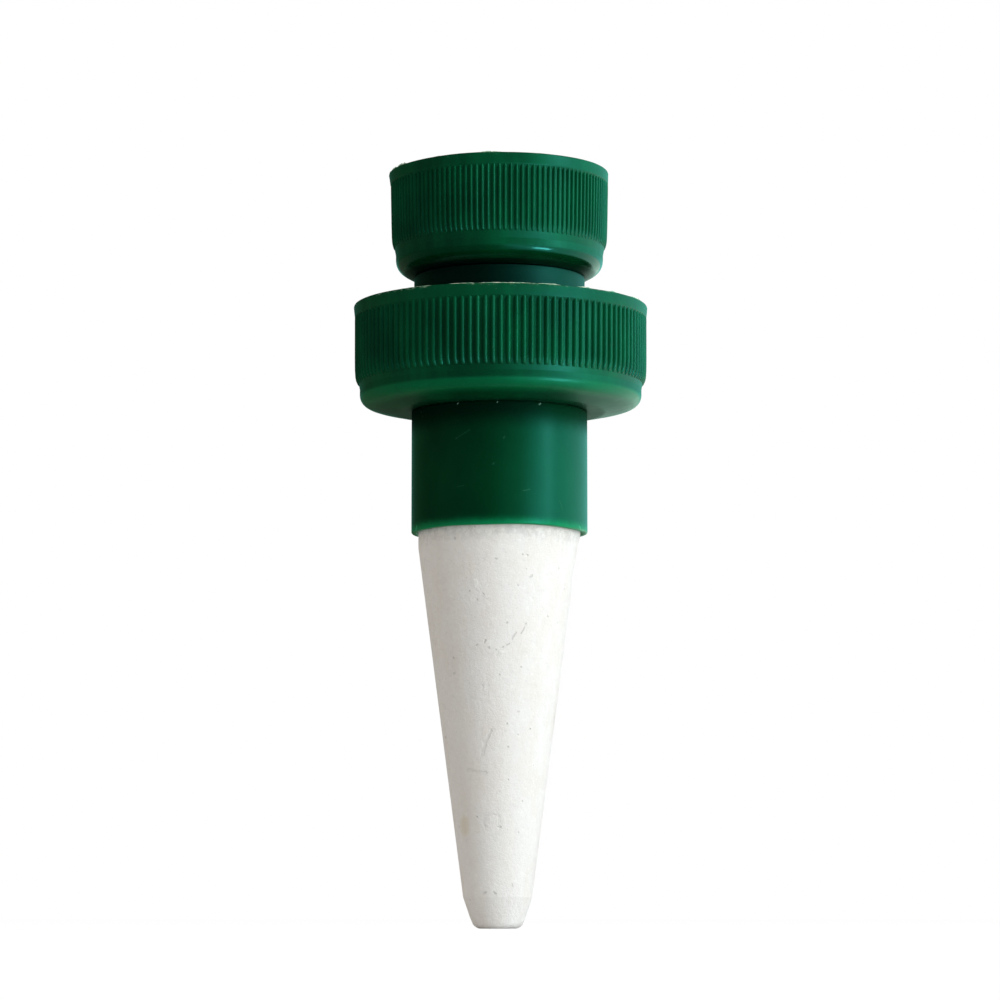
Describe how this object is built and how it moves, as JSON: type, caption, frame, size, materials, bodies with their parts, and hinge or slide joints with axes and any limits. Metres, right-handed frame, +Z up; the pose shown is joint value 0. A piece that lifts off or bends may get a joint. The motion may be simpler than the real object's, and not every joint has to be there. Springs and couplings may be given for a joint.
{
  "type": "self watering spike",
  "caption": "Porous ceramic cone in a plastic collar, with a small and a large screw cap that take an upturned bottle.",
  "frame": {"origin": "centre of the collar's lower edge, which is the soil line when the cone is pushed in", "axes": "+Z up along the cone's axis, from the tip towards the bottle; the picture is taken from -Y with +X to the right"},
  "size_m": [0.041, 0.041, 0.1047],
  "materials": {
    "cone_ceramic": "unglazed, fine pores",
    "seal_rubber": "matt",
    "collar_plastic": "semi-gloss moulded",
    "cap_plastic": "semi-gloss moulded",
    "gasket_rubber": "satin"
  },
  "bodies": {
    "cone": {"porous_cone": "cone_ceramic", "cone_seal": "seal_rubber"},
    "collar": {"collar": "collar_plastic", "inlet_bush": "collar_plastic", "large_gasket": "gasket_rubber", "small_gasket": "gasket_rubber"},
    "large_cap": {"large_cap": "cap_plastic"},
    "small_cap": {"small_cap": "cap_plastic"}
  },
  "joints": [
    {"name": "collar_lift", "type": "slide", "parent": "cone", "child": "collar", "axis": [0, 0, 1], "range_m": [0, 0.02]},
    {"name": "large_cap_turn", "type": "hinge", "parent": "collar", "child": "large_cap", "pos_m": [0, 0, 0.0177], "axis": [0, 0, 1], "continuous": true},
    {"name": "small_cap_turn", "type": "hinge", "parent": "collar", "child": "small_cap", "pos_m": [0, 0, 0.0366], "axis": [0, 0, 1], "continuous": true}
  ]
}
